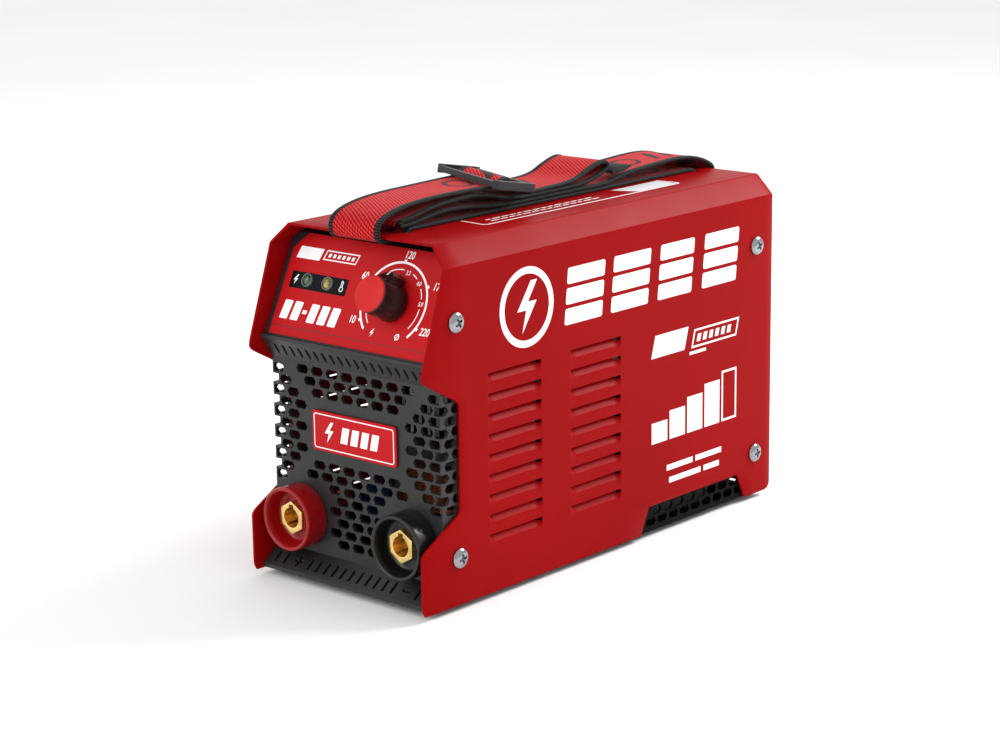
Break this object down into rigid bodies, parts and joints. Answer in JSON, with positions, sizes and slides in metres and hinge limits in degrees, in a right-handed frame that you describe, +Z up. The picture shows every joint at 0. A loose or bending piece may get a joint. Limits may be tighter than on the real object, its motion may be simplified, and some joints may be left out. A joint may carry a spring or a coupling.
{
  "type": "stick welding inverter",
  "caption": "Portable stick welding inverter: folded steel cover with louvers, black vented front, current knob, two cable sockets, rear fan and carrying strap.",
  "frame": {"origin": "on the ground under the middle of the outline", "axes": "+X is the right side seen from the front, the front faces -Y, +Z is up"},
  "size_m": [0.1198, 0.28, 0.1952],
  "materials": {
    "painted_red_steel": "satin powder coat",
    "red_film": "printed film",
    "red_plastic": "satin",
    "black_plastic": "satin",
    "black_steel": "satin",
    "rubber": "matte",
    "zinc": "polished",
    "brass": "polished",
    "copper": "bare copper",
    "aluminium": "extruded",
    "circuit_board": "solder mask",
    "ferrite": "matte",
    "dark_window": "gloss",
    "nylon": "matte black",
    "bezel": "satin",
    "green_lamp": "clear tinted",
    "amber_lamp": "clear tinted",
    "capacitor_sleeve": "sleeve",
    "epoxy": "moulded",
    "relay_case": "satin",
    "webbing": "woven, black edges"
  },
  "bodies": {
    "root": {"cover_shell": "painted_red_steel", "control_overlay": "red_film", "badge_plate": "red_film", "socket_plus_housing": "red_plastic", "socket_plus_nut": "red_plastic", "front_panel": "black_plastic", "socket_minus_housing": "black_plastic", "socket_minus_nut": "black_plastic", "fan_frame": "black_plastic", "power_switch_housing": "black_plastic", "cable_gland": "black_plastic", "cable_gland_nut": "black_plastic", "strap_slider": "black_plastic", "base_pan": "black_steel", "rear_panel": "black_steel", "rubber_foot_left_front": "rubber", "rubber_foot_left_rear": "rubber", "rubber_foot_right_front": "rubber", "rubber_foot_right_rear": "rubber", "potentiometer_nut": "zinc", "cover_screw_left_front_upper": "zinc", "cover_screw_left_front_lower": "zinc", "cover_screw_left_rear_upper": "zinc", "cover_screw_left_rear_lower": "zinc", "cover_screw_right_front_upper": "zinc", "cover_screw_right_front_lower": "zinc", "cover_screw_right_rear_upper": "zinc", "cover_screw_right_rear_lower": "zinc", "socket_plus_insert": "brass", "socket_minus_insert": "brass", "busbar_plus": "copper", "busbar_minus": "copper", "transformer_winding": "copper", "output_choke": "copper", "heatsink_primary": "aluminium", "heatsink_secondary": "aluminium", "potentiometer_body": "aluminium", "main_board": "circuit_board", "control_board": "circuit_board", "transformer_core": "ferrite", "indicator_window": "dark_window", "board_rail_left": "nylon", "board_rail_right": "nylon", "led_bezel_power": "bezel", "led_bezel_overheat": "bezel", "led_power": "green_lamp", "led_overheat": "amber_lamp", "bulk_capacitor_1": "capacitor_sleeve", "bulk_capacitor_2": "capacitor_sleeve", "bulk_capacitor_3": "capacitor_sleeve", "rectifier_bridge": "epoxy", "soft_start_relay": "relay_case", "carry_strap": "webbing"},
    "knob": {"knob_body": "black_plastic", "knob_cap": "red_plastic", "potentiometer_shaft": "zinc"},
    "fan": {"fan_rotor": "black_plastic"},
    "rocker": {"power_switch_rocker": "red_plastic"}
  },
  "joints": [
    {"name": "knob_turn", "type": "hinge", "parent": "root", "child": "knob", "pos_m": [0.0219, -0.1183, 0.1441], "axis": [0, -0.9026, 0.4305], "range_deg": [-136, 135]},
    {"name": "fan_spin", "type": "hinge", "parent": "root", "child": "fan", "pos_m": [0, 0.1171, 0.068], "axis": [0, 1, 0], "continuous": true},
    {"name": "switch_rock", "type": "hinge", "parent": "root", "child": "rocker", "pos_m": [-0.026, 0.1336, 0.141], "axis": [-1, 0, 0], "range_deg": [0, 18]}
  ]
}
